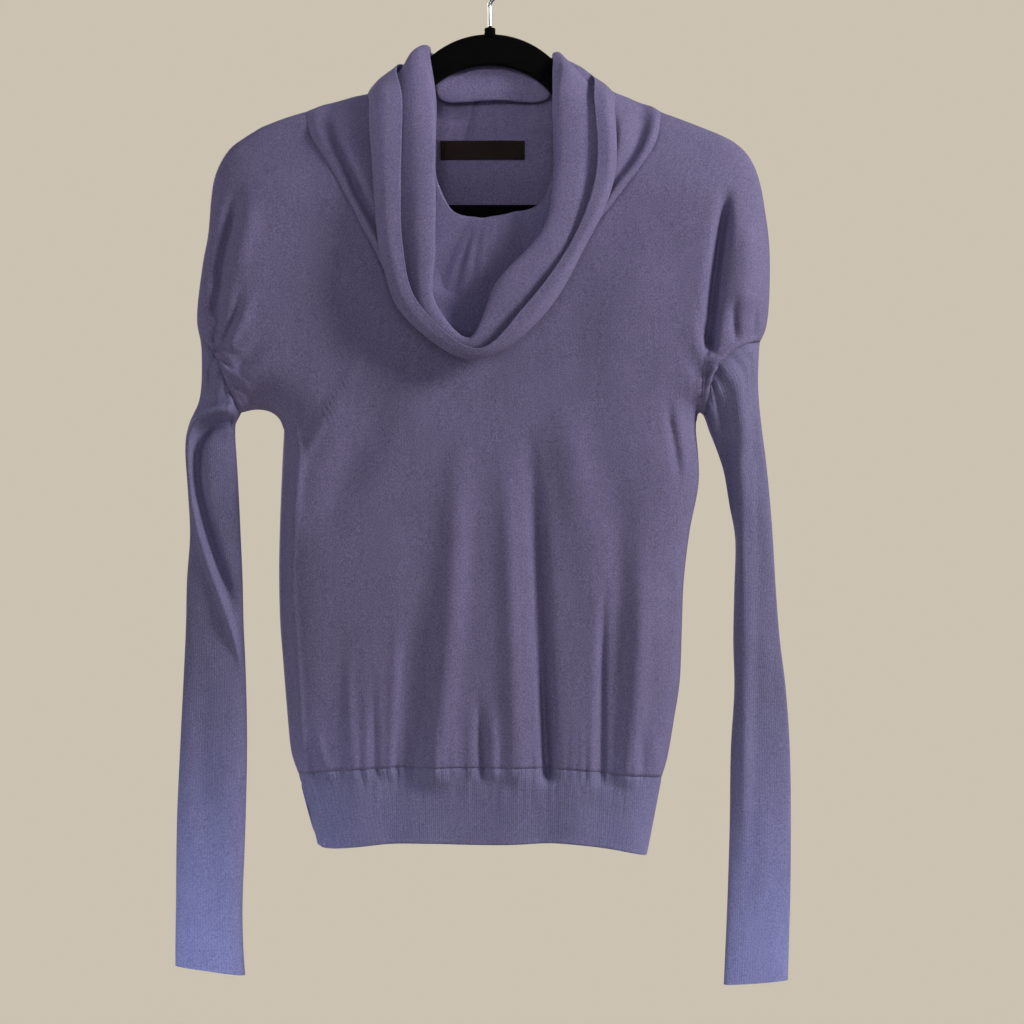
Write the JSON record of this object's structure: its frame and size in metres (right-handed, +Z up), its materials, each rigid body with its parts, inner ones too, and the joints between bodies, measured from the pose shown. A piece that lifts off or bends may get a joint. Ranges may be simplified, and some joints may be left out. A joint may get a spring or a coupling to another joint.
{
  "type": "sweater on hanger",
  "caption": "Fine-knit cowl neck sweater with puffed upper sleeves, long slim ribbed sleeves and a wide ribbed hem band, hanging on a flocked hanger with a wire hook.",
  "frame": {"origin": "inner top of the hook's crook, where it rests on a rail", "axes": "+Z up, +X to the viewer's right, the garment's front faces -Y"},
  "size_m": [0.5112, 0.0923, 0.8588],
  "materials": {
    "lavender_knit": "fine plain knit with a soft nap",
    "lavender_rib": "fine rib knit with a soft nap",
    "label_brown": "woven satin label",
    "flocked_black": "short flock on plastic",
    "hook_steel": "bright wire"
  },
  "bodies": {
    "root": {"front": "lavender_knit", "back": "lavender_knit", "sleeve_left": "lavender_rib", "sleeve_right": "lavender_rib", "hem_band_front": "lavender_rib", "hem_band_back": "lavender_rib", "cowl": "lavender_knit", "neck_label": "label_brown", "hanger": "flocked_black", "hook": "hook_steel"}
  },
  "joints": []
}
